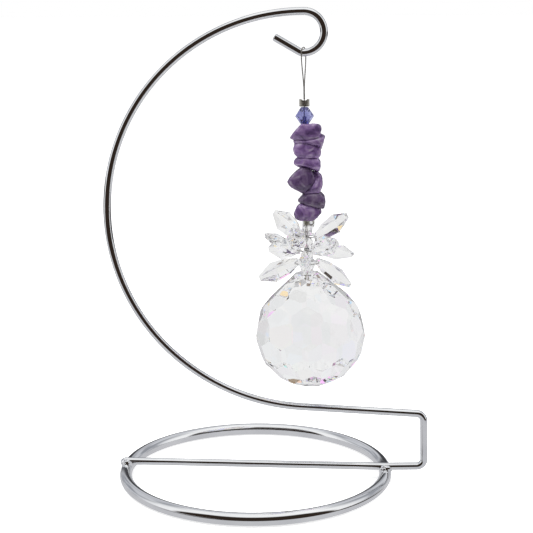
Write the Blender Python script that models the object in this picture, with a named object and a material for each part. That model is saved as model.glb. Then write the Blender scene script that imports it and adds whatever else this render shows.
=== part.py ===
"""Crystal suncatcher on its bent-wire stand.

A chrome wire, welded across a round base ring, rises in a C and ends in a hook.
From the hook hangs a stiff beading cable with a bicone bead, eight amethyst chips,
three tiers of cut crystal petals and a faceted crystal ball.
Metres, +Z up. The origin is on the table, under the middle of the whole stand.
"""
import math

import bmesh
import bpy
from mathutils import Euler, Matrix, Vector

# Clearance between pieces that touch
GAP = 0.0003

# Base ring, a round rod bent into a circle
RING_RADIUS = 0.0497
RING_ROD = 0.0048
RING_STEPS = 56
RING_SIDES = 12

# Stand wire, walked from the free end of the bar to the tip of the hook
WIRE = 0.0028
WIRE_FORWARD = 0.0013
WELD_SET_DOWN = 0.0008
BAR_OVERHANG = 0.0012
TAIL_RUN = 0.0111
TAIL_RISE = math.radians(2.0)
TAIL_BEND_RADIUS = 0.02
CORNER_RADIUS = 0.0028
LOWER_CORNER = math.radians(89.3)
POST_RUN = 0.0152
UPPER_CORNER = math.radians(86.2)
ARM_RUN = 0.0436
LOWER_ARC_RADIUS = 0.0767
LOWER_ARC = math.radians(43.4)
UPPER_ARC_RADIUS = 0.0731
CURL_RADIUS = 0.00735
KNEE_RADIUS = 0.003
KNEE_BEND = math.radians(30.0)
TIP_RUN = 0.0105
BROAD_ARC = 0.03
BROAD_ARC_STEP = math.radians(5.0)
TIGHT_ARC_STEP = math.radians(18.0)

# Weld beads at the two crossings
WELD_LENGTH = 0.0052
WELD_WIDTH = 0.0050
WELD_HEIGHT = 0.0036

# Beading cable: one strand over the hook, two strands side by side below it
CABLE = 0.00045
TWISTED_CABLE = 0.0006
BEAD_HOLE = TWISTED_CABLE + 2 * GAP
LOOP_LENGTH = 0.0125
LOOP_TURN = math.radians(21.0)
LOOP_CLEARANCE = 0.00045
LOOP_STEPS = 10
PENDANT_LEAN = math.radians(1.0)

# Beads on the cable, from the hook down
TOP_CRIMP_DROP = 0.0166
TOP_CRIMP_WIDTH = 0.0038
TOP_CRIMP_DEPTH = 0.0024
TOP_CRIMP_HEIGHT = 0.0026
BICONE_WIDTH = 0.0066
BICONE_HEIGHT = 0.0062
BICONE_TABLE = 0.0026
BICONE_FACETS = 8
LOWER_CRIMP_WIDTH = 0.0022
LOWER_CRIMP_HEIGHT = 0.0018
EYE_RADIUS = 0.0009
CONE_TOP_WIDTH = 0.0032
CONE_BOTTOM_WIDTH = 0.0044
CONE_HEIGHT = 0.0031
SPACER_HEIGHT = 0.00395
SPACER_FACETS = 8
SPACER_FACET_REACH = 0.00223
SPACER_SLANT = math.radians(52)

# Amethyst chips: each outline lists the corners seen from the front, as
# (across, down) in millimetres from the highest point of the first chip
CHIP_DEPTH = 0.0082
CHIP_ROUNDING = 1.3
CHIP_OUTLINES = (
    ((-0.9, 0.2), (1.7, -0.3), (4.2, -0.2), (5.5, 0.6), (5.8, 2.2), (5.3, 4.0), (4.4, 6.0),
     (-2.8, 6.7), (-5.4, 6.3), (-5.7, 5.6)),
    ((-4.0, 5.4), (0.0, 4.0), (4.6, 3.6), (7.1, 4.8), (6.2, 7.8), (5.4, 10.6), (2.0, 10.8),
     (-3.6, 8.6)),
    ((-2.8, 6.5), (-4.1, 9.0), (-3.7, 11.0), (-2.1, 12.5), (4.4, 12.9), (5.4, 11.6), (5.5, 8.2),
     (4.3, 6.0)),
    ((-2.2, 12.3), (-3.8, 13.5), (-3.8, 14.6), (-2.2, 16.4), (4.6, 18.0), (5.3, 15.6), (5.3, 14.2),
     (4.3, 12.9)),
    ((-0.8, 15.9), (-3.4, 17.7), (-6.0, 20.3), (-6.4, 21.1), (-5.7, 22.4), (-0.3, 25.8), (3.0, 25.2),
     (3.4, 20.0), (1.9, 16.8), (0.6, 15.9)),
    ((-3.0, 19.5), (2.0, 18.0), (4.2, 18.0), (5.5, 19.3), (5.9, 21.0), (5.8, 23.1), (5.0, 24.9),
     (2.6, 25.9), (-2.6, 25.0)),
    ((-0.9, 26.1), (-2.9, 28.2), (-1.1, 29.4), (5.7, 31.4), (6.5, 31.0), (6.9, 29.4), (6.5, 27.0),
     (5.0, 25.3), (2.1, 25.6)),
    ((-1.2, 29.2), (-3.4, 30.8), (-4.2, 32.9), (-3.8, 34.5), (-2.0, 35.3), (2.0, 35.5), (4.0, 34.3),
     (5.3, 32.7), (5.1, 31.2), (1.6, 29.4)),
)
# Seams between the chips: depth at the cable in millimetres, slope across, slope to the back
CHIP_SEAMS = (
    (0.7, 0.0, 0.25),
    (4.9, -0.12, -0.35),
    (8.3, 0.18, 0.40),
    (12.5, 0.09, 0.0),
    (16.3, 0.25, 0.30),
    (21.2, -1.20, -1.60),
    (25.7, -0.10, 0.0),
    (29.4, 0.30, 0.0),
    (35.4, 0.0, 0.0),
)
# Seams that bound each chip from above and from below
CHIP_BOUNDS = (
    ((0,), (1, 2)),
    ((1,), (2,)),
    ((1, 2), (3,)),
    ((3,), (4,)),
    ((4,), (5, 6)),
    ((4, 5), (6,)),
    ((6,), (7,)),
    ((7,), (8,)),
)

# Petal tiers: a wire ring on a spoke holds the petals by a hole near the root
TIER_RADIUS = 0.0044
TIER_WIRE = 0.0005
SPOKE_WIRE = 0.00042
SPOKE_EYE_HEIGHT = 0.00045
TIER_STEPS = 20
TIER_SIDES = 6
PETAL_LENGTH = 0.0162
PETAL_WIDTH = 0.0080
PETAL_SHOULDER = 0.0057
PETAL_BACK = 0.0057
PETAL_BACK_WIDTH = 0.00656
PETAL_TIP_WIDTH = 0.0020
PETAL_ROOT_WIDTH = 0.0024
PETAL_HOLE_INSET = 0.0015
PETAL_GIRDLE = 0.0006
PETAL_SLOPE = math.radians(30.0)
# For each petal: bearing around the cable, rise of the tip, roll about its length
TOP_PETALS = ((-22, 35, -28), (137, 29, 22), (252, 8, 8), (88, 28, 0))
MIDDLE_PETALS = ((24, -15, 42), (213, 28, 50), (-50, 21, 20), (142, -8, 0))
BOTTOM_PETALS = ((3, -38, -52), (180, -24, 30), (-92, 18, 0), (88, -20, 0))
SPOKE_BEARINGS = (14, 80, 49)

# Crystal ball: facet rows as (angle from the top, facets in the row, half step turn)
BALL_FACET_RADIUS = 0.0197
BALL_TOP_HEIGHT = 0.0230
BALL_CENTER_BELOW_TIER = 0.0268
BALL_TILT = math.radians(2.0)
BALL_HOLE_DEPTH = 0.0050
BALL_ROWS = (
    (43, 10, 0.0),
    (61, 10, 0.5),
    (79, 12, 0.0),
    (104, 12, 0.5),
    (131, 12, 0.0),
    (157, 6, 0.5),
    (180, 1, 0.0),
)

# Places worked out from the sizes above
HALF_WIRE = WIRE / 2
RING_APOTHEM = RING_ROD / 2 * math.cos(math.pi / RING_SIDES)
RING_TOP = 2 * RING_APOTHEM
BAR_HEIGHT = RING_TOP + HALF_WIRE - WELD_SET_DOWN
BAR_LENGTH = BAR_OVERHANG + 2 * RING_RADIUS
UPPER_ARC = math.pi + TAIL_RISE - (math.pi - LOWER_CORNER - UPPER_CORNER) - LOWER_ARC
CRIMP_BOTTOM_DROP = TOP_CRIMP_DROP + TOP_CRIMP_HEIGHT
BICONE_DROP = CRIMP_BOTTOM_DROP + GAP
CHIPS_DROP = BICONE_DROP + BICONE_HEIGHT + GAP - CHIP_SEAMS[0][0] / 1000
CHIPS_LENGTH = CHIP_SEAMS[-1][0] / 1000
LOWER_CRIMP_DROP = CHIPS_DROP + CHIPS_LENGTH + GAP
CONE_DROP = LOWER_CRIMP_DROP + LOWER_CRIMP_HEIGHT + GAP
TIER_SEAT = TIER_WIRE + 2 * GAP
FIRST_TIER_DROP = CONE_DROP + CONE_HEIGHT + GAP + TIER_WIRE / 2
TIER_STEP = SPACER_HEIGHT + TIER_SEAT
LAST_TIER_DROP = FIRST_TIER_DROP + 2 * TIER_STEP
BALL_TOP_DROP = LAST_TIER_DROP + BALL_CENTER_BELOW_TIER - BALL_TOP_HEIGHT
LAST_SPACER_HEIGHT = BALL_TOP_DROP - LAST_TIER_DROP - TIER_WIRE / 2 - 2 * GAP


def clear_scene():
    """Remove every object, so the script can run again in the same file."""
    for scene_object in list(bpy.data.objects):
        bpy.data.objects.remove(scene_object, do_unlink=True)


def new_collection(name):
    """Make a collection in the scene."""
    collection = bpy.data.collections.new(name)
    bpy.context.scene.collection.children.link(collection)
    return collection


def new_material(name, color, roughness, metallic=0.0, transmission=0.0, ior=1.5):
    """Make a Principled material from plain values."""
    material = bpy.data.materials.new(name)
    material.use_nodes = True
    shader = material.node_tree.nodes["Principled BSDF"]
    shader.inputs["Base Color"].default_value = (*color, 1.0)
    shader.inputs["Roughness"].default_value = roughness
    shader.inputs["Metallic"].default_value = metallic
    shader.inputs["Transmission Weight"].default_value = transmission
    shader.inputs["IOR"].default_value = ior
    return material


def add_object(name, mesh, collection, material=None, parent=None):
    """Put a mesh in the scene as a named object."""
    new_object = bpy.data.objects.new(name, mesh)
    collection.objects.link(new_object)
    if material:
        mesh.materials.append(material)
    new_object.parent = parent
    return new_object


def add_cutter(name, mesh, parent=None):
    """Put a mesh among the cutters, drawn as wire and left out of renders."""
    cutter = add_object(name, mesh, CUTTERS, parent=parent)
    cutter.hide_render = True
    cutter.display_type = "WIRE"
    return cutter


def add_boolean(target, operand, operation, crosses_itself=False):
    """Cut or join another object with the exact solver."""
    modifier = target.modifiers.new(f"{operation.lower()} {operand.name}", "BOOLEAN")
    modifier.object = operand
    modifier.operation = operation
    modifier.solver = "EXACT"
    modifier.use_self = crosses_itself


def finish_mesh(bm, name, smooth_angle=None):
    """Turn a bmesh into a mesh with its faces pointing out."""
    bmesh.ops.recalc_face_normals(bm, faces=bm.faces)
    mesh = bpy.data.meshes.new(name)
    bm.to_mesh(mesh)
    bm.free()
    if smooth_angle is not None:
        mesh.shade_smooth()
        mesh.set_sharp_from_angle(angle=smooth_angle)
    return mesh


def cylinder_mesh(name, radius, length, sides, center=(0, 0, 0)):
    """A closed cylinder along Z."""
    bm = bmesh.new()
    bmesh.ops.create_cone(bm, cap_ends=True, segments=sides, radius1=radius, radius2=radius,
                          depth=length, matrix=Matrix.Translation(center))
    return finish_mesh(bm, name, math.radians(40))


def torus_mesh(name, radius, tube_radius, steps, sides):
    """A closed round ring, made by turning a circle whose lowest side is level."""
    bm = bmesh.new()
    profile_turn = Matrix.Rotation(math.pi / sides, 4, "Y")
    stand_up = Matrix.Rotation(math.pi / 2, 4, "X")
    place = Matrix.Translation((radius, 0, 0)) @ profile_turn @ stand_up
    circle = bmesh.ops.create_circle(bm, segments=sides, radius=tube_radius, matrix=place)
    edges = {edge for vert in circle["verts"] for edge in vert.link_edges}
    bmesh.ops.spin(bm, geom=list(edges), cent=(0, 0, 0), axis=(0, 0, 1), angle=2 * math.pi,
                   steps=steps, use_merge=True)
    bmesh.ops.remove_doubles(bm, verts=bm.verts, dist=1e-6)
    return finish_mesh(bm, name, math.radians(60))


def tube_mesh(name, points, tube_radius, bevel_resolution):
    """A closed round tube along points: a beveled curve made into a welded mesh."""
    curve = bpy.data.curves.new(name, "CURVE")
    curve.dimensions = "3D"
    curve.bevel_depth = tube_radius
    curve.bevel_resolution = bevel_resolution
    curve.use_fill_caps = True
    spline = curve.splines.new("POLY")
    spline.points.add(len(points) - 1)
    for spline_point, place in zip(spline.points, points):
        spline_point.co = (*place, 1.0)
    guide = bpy.data.objects.new(name, curve)
    bpy.context.scene.collection.objects.link(guide)
    evaluated = guide.evaluated_get(bpy.context.evaluated_depsgraph_get())
    tube = bpy.data.meshes.new_from_object(evaluated)
    bpy.data.objects.remove(guide, do_unlink=True)
    bm = bmesh.new()
    bm.from_mesh(tube)
    bpy.data.meshes.remove(tube)
    bmesh.ops.remove_doubles(bm, verts=bm.verts, dist=1e-6)
    return finish_mesh(bm, name, math.radians(40))


def cut_facets(bm, planes):
    """Grind a stone flat by flat: keep what lies behind each plane (point, normal)."""
    for point, normal in planes:
        everything = bm.verts[:] + bm.edges[:] + bm.faces[:]
        bmesh.ops.bisect_plane(bm, geom=everything, dist=1e-6, plane_co=point,
                               plane_no=normal, clear_outer=True)
        rim = [edge for edge in bm.edges if edge.is_boundary]
        if rim:
            bmesh.ops.holes_fill(bm, edges=rim, sides=0)


def facet_row(distance, angle_from_top, count, half_turns):
    """Planes of one row of facets around Z, each at a distance from the centre."""
    planes = []
    for step in range(count):
        bearing = 2 * math.pi * (step + half_turns) / count
        normal = Vector((math.sin(angle_from_top) * math.cos(bearing),
                         math.sin(angle_from_top) * math.sin(bearing),
                         math.cos(angle_from_top)))
        planes.append((normal * distance, normal))
    return planes


def stone_blank(size):
    """The block that a stone is cut from."""
    bm = bmesh.new()
    bmesh.ops.create_cube(bm, size=size)
    return bm


def walk_wire():
    """Centre line of the stand wire in its own plane, as (along, up) points, and its hang point.

    The walk keeps a place and a heading. A bend is an arc to the left where its angle is
    positive and to the right where it is negative.
    """
    place = Vector((0.0, BAR_HEIGHT))
    heading = 0.0
    points = [place.copy()]
    bends = (
        (BAR_LENGTH, TAIL_RISE, TAIL_BEND_RADIUS),
        (TAIL_RUN, LOWER_CORNER, CORNER_RADIUS),
        (POST_RUN, UPPER_CORNER, CORNER_RADIUS),
        (ARM_RUN, -LOWER_ARC, LOWER_ARC_RADIUS),
        (0.0, -UPPER_ARC, UPPER_ARC_RADIUS),
        (0.0, -math.pi, CURL_RADIUS),
        (0.0, -KNEE_BEND, KNEE_RADIUS),
        (TIP_RUN, 0.0, 0.0),
    )
    corners = []
    for run, turn, radius in bends:
        if run:
            place = place + run * Vector((math.cos(heading), math.sin(heading)))
            points.append(place.copy())
        if turn:
            side = math.copysign(1.0, turn)
            center = place + side * radius * Vector((-math.sin(heading), math.cos(heading)))
            largest_step = BROAD_ARC_STEP if radius > BROAD_ARC else TIGHT_ARC_STEP
            steps = max(2, math.ceil(abs(turn) / largest_step))
            for step in range(1, steps + 1):
                angle = heading + turn * step / steps
                spoke = side * radius * Vector((math.sin(angle), -math.cos(angle)))
                points.append(center + spoke)
            heading += turn
            place = points[-1].copy()
        corners.append(place.copy())
    hang_point = corners[5]
    return points, hang_point


def build_base_ring():
    """The round base, lying on a level flat all around."""
    mesh = torus_mesh("base_ring", RING_RADIUS, RING_ROD / 2, RING_STEPS, RING_SIDES)
    ring = add_object("base_ring", mesh, SUNCATCHER, CHROME)
    ring.location = (RING_X, 0, RING_APOTHEM)
    return ring


def build_stand_wire(points):
    """The bent wire with its two weld beads, cut clear of the ring that it is welded on."""
    tube = tube_mesh("stand_wire", [(x, 0, z) for x, z in points], HALF_WIRE, 3)
    wire = add_object("stand_wire", tube, SUNCATCHER, CHROME)
    wire.location = (WIRE_X, -WIRE_FORWARD, 0)
    for name, side in (("left", -1), ("right", 1)):
        bm = bmesh.new()
        bmesh.ops.create_uvsphere(bm, u_segments=12, v_segments=8, radius=0.5)
        bmesh.ops.scale(bm, vec=(WELD_LENGTH, WELD_WIDTH, WELD_HEIGHT), verts=bm.verts)
        weld = add_cutter(f"weld_{name}", finish_mesh(bm, f"weld_{name}"))
        weld.location = (RING_X + side * RING_RADIUS, -WIRE_FORWARD, BAR_HEIGHT - HALF_WIRE / 2)
        add_boolean(wire, weld, "UNION")
    clearance = torus_mesh("ring_clearance", RING_RADIUS, RING_ROD / 2 + GAP, RING_STEPS, RING_SIDES)
    cutter = add_cutter("ring_clearance", clearance)
    cutter.location = (RING_X, 0, RING_APOTHEM)
    add_boolean(wire, cutter, "DIFFERENCE")
    return wire


def build_hanging_cable(pendant):
    """The cable: a loop over the hook, closed at the crimp, and one line down to the ball."""
    loop_radius = HALF_WIRE / math.cos(LOOP_TURN) + LOOP_CLEARANCE + CABLE / 2
    outward = Vector((-math.sin(LOOP_TURN), -math.cos(LOOP_TURN), 0))
    ends_apart = TWISTED_CABLE / 8
    points = [outward * ends_apart - Vector((0, 0, LOOP_LENGTH))]
    for step in range(LOOP_STEPS + 1):
        angle = math.pi * step / LOOP_STEPS
        points.append(loop_radius * (math.cos(angle) * outward + Vector((0, 0, math.sin(angle)))))
    points.append(-outward * ends_apart - Vector((0, 0, LOOP_LENGTH)))
    loop = tube_mesh("hanging_cable", points, CABLE / 2, 1)
    cable = add_object("hanging_cable", loop, SUNCATCHER, STEEL, pendant)
    top = -(LOOP_LENGTH - TWISTED_CABLE)
    bottom = -(BALL_TOP_DROP + BALL_HOLE_DEPTH - GAP)
    line = cylinder_mesh("cable_line", TWISTED_CABLE / 2, top - bottom, 8, (0, 0, (top + bottom) / 2))
    add_boolean(cable, add_cutter("cable_line", line, pendant), "UNION", crosses_itself=True)


def drill(bead):
    """Drill a bead through along the cable."""
    add_boolean(bead, CABLE_HOLE, "DIFFERENCE")


def build_top_crimp(pendant):
    """A crimp tube squashed flat, with a dip in its upper edge between two lobes."""
    center = (0, 0, -(TOP_CRIMP_DROP + TOP_CRIMP_HEIGHT / 2))
    mesh = cylinder_mesh("top_crimp", 0.5, 1, 16)
    mesh.transform(Matrix.Diagonal((TOP_CRIMP_WIDTH, TOP_CRIMP_DEPTH, TOP_CRIMP_HEIGHT, 1)))
    crimp = add_object("top_crimp", mesh, SUNCATCHER, PEWTER, pendant)
    crimp.location = center
    dip = cylinder_mesh("crimp_dip", TOP_CRIMP_WIDTH / 3, 2 * TOP_CRIMP_DEPTH, 12)
    dip.transform(Matrix.Rotation(math.pi / 2, 4, "X"))
    cutter = add_cutter("crimp_dip", dip, pendant)
    cutter.location = (0, 0, -TOP_CRIMP_DROP + TOP_CRIMP_WIDTH / 6)
    add_boolean(crimp, cutter, "DIFFERENCE")
    drill(crimp)


def build_bicone(pendant):
    """The bicone bead: two rows of facets, small flats at the waist, a flat at each end."""
    half_height = BICONE_HEIGHT / 2
    rise = math.atan2(BICONE_WIDTH / 2 - BICONE_TABLE / 2, half_height)
    distance = BICONE_WIDTH / 2 * math.cos(rise)
    bm = stone_blank(2 * BICONE_WIDTH)
    upper = math.pi / 2 - rise
    cut_facets(bm, facet_row(distance, upper, BICONE_FACETS, 0.0))
    cut_facets(bm, facet_row(distance, math.pi - upper, BICONE_FACETS, 0.5))
    cut_facets(bm, facet_row(BICONE_WIDTH / 2, math.pi / 2, 2 * BICONE_FACETS, 0.5))
    cut_facets(bm, facet_row(half_height, 0.0, 1, 0.0) + facet_row(half_height, math.pi, 1, 0.0))
    bead = add_object("bicone_bead", finish_mesh(bm, "bicone_bead"), SUNCATCHER, TANZANITE, pendant)
    bead.location = (0, 0, -(BICONE_DROP + half_height))
    drill(bead)


def chip_outline_planes(outline):
    """One plane across each side of a chip's outline, facing away from its middle."""
    corners = [Vector((across, 0, -down)) / 1000 for across, down in outline]
    middle = sum(corners, Vector()) / len(corners)
    planes = []
    for corner, following in zip(corners, corners[1:] + corners[:1]):
        along = following - corner
        normal = Vector((along.z, 0, -along.x)).normalized()
        if normal.dot(corner - middle) < 0:
            normal.negate()
        planes.append((corner, normal))
    return planes, middle


def seam_plane(seam, side):
    """The plane of a seam, moved half a gap to the side above (1) or below (-1) it."""
    depth, across, back = seam
    normal = Vector((across, back, 1)).normalized()
    return Vector((0, 0, -depth / 1000)) + side * normal * GAP / 2, normal


def build_chip(number, pendant):
    """A tumbled amethyst chip: a pebble ground along its outline and along its seams."""
    outline = CHIP_OUTLINES[number]
    planes, middle = chip_outline_planes(outline)
    width = max(across for across, down in outline) - min(across for across, down in outline)
    height = max(down for across, down in outline) - min(down for across, down in outline)
    bm = bmesh.new()
    bmesh.ops.create_icosphere(bm, subdivisions=3, radius=0.5)
    pebble = Vector((width / 1000 * CHIP_ROUNDING, CHIP_DEPTH, height / 1000 * CHIP_ROUNDING))
    bmesh.ops.scale(bm, vec=pebble, verts=bm.verts)
    bmesh.ops.translate(bm, vec=middle, verts=bm.verts)
    above, below = CHIP_BOUNDS[number]
    for index in above:
        planes.append(seam_plane(CHIP_SEAMS[index], -1))
    for index in below:
        point, normal = seam_plane(CHIP_SEAMS[index], 1)
        planes.append((point, -normal))
    cut_facets(bm, planes)
    name = f"amethyst_chip_{number + 1}"
    chip = add_object(name, finish_mesh(bm, name, math.radians(25)), SUNCATCHER, AMETHYST, pendant)
    chip.location = (0, 0, -CHIPS_DROP)
    drill(chip)


def build_lower_crimp(pendant):
    """The lower crimp, a short tube with the turned end of its wire as a small eye."""
    middle = -(LOWER_CRIMP_DROP + LOWER_CRIMP_HEIGHT / 2)
    mesh = cylinder_mesh("lower_crimp", LOWER_CRIMP_WIDTH / 2, LOWER_CRIMP_HEIGHT, 12)
    crimp = add_object("lower_crimp", mesh, SUNCATCHER, PEWTER, pendant)
    crimp.location = (0, 0, middle)
    eye_mesh = torus_mesh("wire_eye", EYE_RADIUS, TIER_WIRE / 2, 12, 6)
    eye_mesh.transform(Matrix.Rotation(math.pi / 2, 4, "X"))
    eye = add_cutter("wire_eye", eye_mesh, pendant)
    eye.location = (LOWER_CRIMP_WIDTH / 2 + EYE_RADIUS - TIER_WIRE / 2, 0, middle)
    add_boolean(crimp, eye, "UNION")
    drill(crimp)


def build_cone_bead(pendant):
    """The clear cone bead that spreads above the first tier."""
    bm = bmesh.new()
    bmesh.ops.create_cone(bm, cap_ends=True, segments=SPACER_FACETS, radius1=CONE_BOTTOM_WIDTH / 2,
                          radius2=CONE_TOP_WIDTH / 2, depth=CONE_HEIGHT)
    bead = add_object("clear_bead_1", finish_mesh(bm, "clear_bead_1"), SUNCATCHER, CRYSTAL, pendant)
    bead.location = (0, 0, -(CONE_DROP + CONE_HEIGHT / 2))
    drill(bead)


def build_spacer(number, height, pendant):
    """A clear faceted bead below a tier: three rows of facets and a flat at each end."""
    half_height = height / 2
    bm = stone_blank(4 * SPACER_FACET_REACH)
    for angle, half_turns in ((SPACER_SLANT, 0.5), (math.pi / 2, 0.0), (math.pi - SPACER_SLANT, 0.5)):
        cut_facets(bm, facet_row(SPACER_FACET_REACH, angle, SPACER_FACETS, half_turns))
    cut_facets(bm, facet_row(half_height, 0.0, 1, 0.0) + facet_row(half_height, math.pi, 1, 0.0))
    name = f"clear_bead_{number + 2}"
    bead = add_object(name, finish_mesh(bm, name), SUNCATCHER, CRYSTAL, pendant)
    top = FIRST_TIER_DROP + number * TIER_STEP + TIER_WIRE / 2 + GAP
    bead.location = (0, 0, -(top + half_height))
    drill(bead)


def petal_mesh(name):
    """A cut petal along +X: a kite outline with a roof of facets on both faces."""
    tip = PETAL_LENGTH - PETAL_HOLE_INSET
    root = -PETAL_HOLE_INSET
    shoulder = tip - PETAL_SHOULDER
    corners = (
        Vector((tip, 0, PETAL_TIP_WIDTH / 2)),
        Vector((shoulder, 0, PETAL_WIDTH / 2)),
        Vector((shoulder - PETAL_BACK, 0, PETAL_BACK_WIDTH / 2)),
        Vector((root, 0, PETAL_ROOT_WIDTH / 2)),
    )
    ends = ((Vector((tip, 0, 0)), Vector((1, 0, 0))), (Vector((root, 0, 0)), Vector((-1, 0, 0))))
    rims = list(ends)
    for corner, following in zip(corners, corners[1:]):
        along = following - corner
        outward = Vector((-along.z, 0, along.x)).normalized()
        outward = outward if outward.z > 0 else -outward
        rims.append((corner, outward))
        rims.append((Vector((corner.x, 0, -corner.z)), Vector((outward.x, 0, -outward.z))))
    planes = list(rims)
    for point, outward in rims:
        for face in (-1, 1):
            edge = point + Vector((0, face * PETAL_GIRDLE / 2, 0))
            lift = Vector((0, face * math.cos(PETAL_SLOPE), 0))
            planes.append((edge, (outward * math.sin(PETAL_SLOPE) + lift).normalized()))
    bm = stone_blank(2.5 * PETAL_LENGTH)
    cut_facets(bm, planes)
    return finish_mesh(bm, name)


def build_tier(tier_name, number, poses, pendant):
    """One tier: its wire ring on a spoke around the cable, and the petals threaded on the ring."""
    height = -(FIRST_TIER_DROP + number * TIER_STEP)
    ring_mesh = torus_mesh(f"{tier_name}_ring", TIER_RADIUS, TIER_WIRE / 2,
                           TIER_STEPS, TIER_SIDES)
    ring = add_object(f"{tier_name}_ring", ring_mesh, SUNCATCHER, STEEL, pendant)
    ring.location = (0, 0, height)
    spoke_mesh = cylinder_mesh(f"{tier_name}_spoke", SPOKE_WIRE / 2, 2 * TIER_RADIUS, TIER_SIDES)
    spoke = add_cutter(f"{tier_name}_spoke", spoke_mesh, pendant)
    spoke.location = (0, 0, height)
    spoke.rotation_euler = (0, math.pi / 2, math.radians(SPOKE_BEARINGS[number]))
    eye_mesh = cylinder_mesh(f"{tier_name}_eye", BEAD_HOLE / 2 + TIER_WIRE, SPOKE_EYE_HEIGHT, 12)
    eye = add_cutter(f"{tier_name}_eye", eye_mesh, pendant)
    eye.location = (0, 0, height)
    add_boolean(ring, spoke, "UNION")
    add_boolean(ring, eye, "UNION")
    drill(ring)
    way_mesh = torus_mesh(f"{tier_name}_way", TIER_RADIUS, TIER_WIRE / 2 + GAP,
                          TIER_STEPS, TIER_SIDES)
    way = add_cutter(f"{tier_name}_way", way_mesh, pendant)
    way.location = (0, 0, height)
    for index, (bearing, rise, roll) in enumerate(poses):
        name = f"{tier_name}_petal_{index + 1}"
        petal = add_object(name, petal_mesh(name), SUNCATCHER, CRYSTAL, pendant)
        around = math.radians(bearing)
        petal.location = (TIER_RADIUS * math.cos(around), TIER_RADIUS * math.sin(around), height)
        petal.rotation_euler = Euler((math.radians(roll), -math.radians(rise), around), "XYZ")
        add_boolean(petal, way, "DIFFERENCE")


def build_ball(pendant):
    """The faceted ball, its top drawn up to a flat where the cable enters a blind hole."""
    bm = stone_blank(4 * BALL_FACET_RADIUS)
    cut_facets(bm, facet_row(BALL_TOP_HEIGHT, 0.0, 1, 0.0))
    for angle, count, half_turns in BALL_ROWS:
        cut_facets(bm, facet_row(BALL_FACET_RADIUS, math.radians(angle), count, half_turns))
    ball = add_object("crystal_ball", finish_mesh(bm, "crystal_ball"), SUNCATCHER, CRYSTAL, pendant)
    ball.location = Vector((math.sin(BALL_TILT), 0, -math.cos(BALL_TILT))) * BALL_TOP_HEIGHT
    ball.location.z -= BALL_TOP_DROP
    ball.rotation_euler = (0, -BALL_TILT, 0)
    hole = cylinder_mesh("ball_hole", BEAD_HOLE / 2 + GAP, 2 * BALL_HOLE_DEPTH, 12)
    cutter = add_cutter("ball_hole", hole, pendant)
    cutter.location = (0, 0, -BALL_TOP_DROP)
    add_boolean(ball, cutter, "DIFFERENCE")


clear_scene()
SUNCATCHER = new_collection("Crystal suncatcher")
CUTTERS = new_collection("Cutters")
CHROME = new_material("chrome", (0.78, 0.79, 0.81), 0.08, metallic=1.0)
STEEL = new_material("cable steel", (0.62, 0.61, 0.58), 0.3, metallic=1.0)
PEWTER = new_material("pewter", (0.45, 0.43, 0.36), 0.35, metallic=1.0)
TANZANITE = new_material("tanzanite glass", (0.42, 0.42, 0.85), 0.02, transmission=1.0, ior=1.56)
AMETHYST = new_material("amethyst", (0.28, 0.09, 0.38), 0.12, transmission=0.5, ior=1.54)
CRYSTAL = new_material("clear crystal", (0.97, 0.98, 1.0), 0.0, transmission=1.0, ior=1.56)

wire_points, hang_point = walk_wire()
along = [point.x for point in wire_points]
WIRE_X = -(min(along) + max(along)) / 2
RING_X = WIRE_X + BAR_OVERHANG + RING_RADIUS

build_base_ring()
build_stand_wire(wire_points)

pendant_frame = bpy.data.objects.new("pendant_frame", None)
SUNCATCHER.objects.link(pendant_frame)
pendant_frame.location = (WIRE_X + hang_point.x, -WIRE_FORWARD, hang_point.y)
pendant_frame.rotation_euler = (0, -PENDANT_LEAN, 0)
CABLE_HOLE = add_cutter("cable_hole", cylinder_mesh("cable_hole", BEAD_HOLE / 2, 2 * BALL_TOP_DROP, 10),
                        pendant_frame)

build_hanging_cable(pendant_frame)
build_top_crimp(pendant_frame)
build_bicone(pendant_frame)
for chip_number in range(len(CHIP_OUTLINES)):
    build_chip(chip_number, pendant_frame)
build_lower_crimp(pendant_frame)
build_cone_bead(pendant_frame)
for spacer_number, spacer_height in enumerate((SPACER_HEIGHT, SPACER_HEIGHT, LAST_SPACER_HEIGHT)):
    build_spacer(spacer_number, spacer_height, pendant_frame)
for tier_number, (tier, petal_poses) in enumerate((("top", TOP_PETALS), ("middle", MIDDLE_PETALS),
                                                   ("bottom", BOTTOM_PETALS))):
    build_tier(tier, tier_number, petal_poses, pendant_frame)
build_ball(pendant_frame)
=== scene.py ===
"""The looks of a crystal suncatcher on its bent-wire stand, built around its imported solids."""
import math
import random

import bmesh
import bpy
from mathutils import Matrix, Vector, noise


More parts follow.
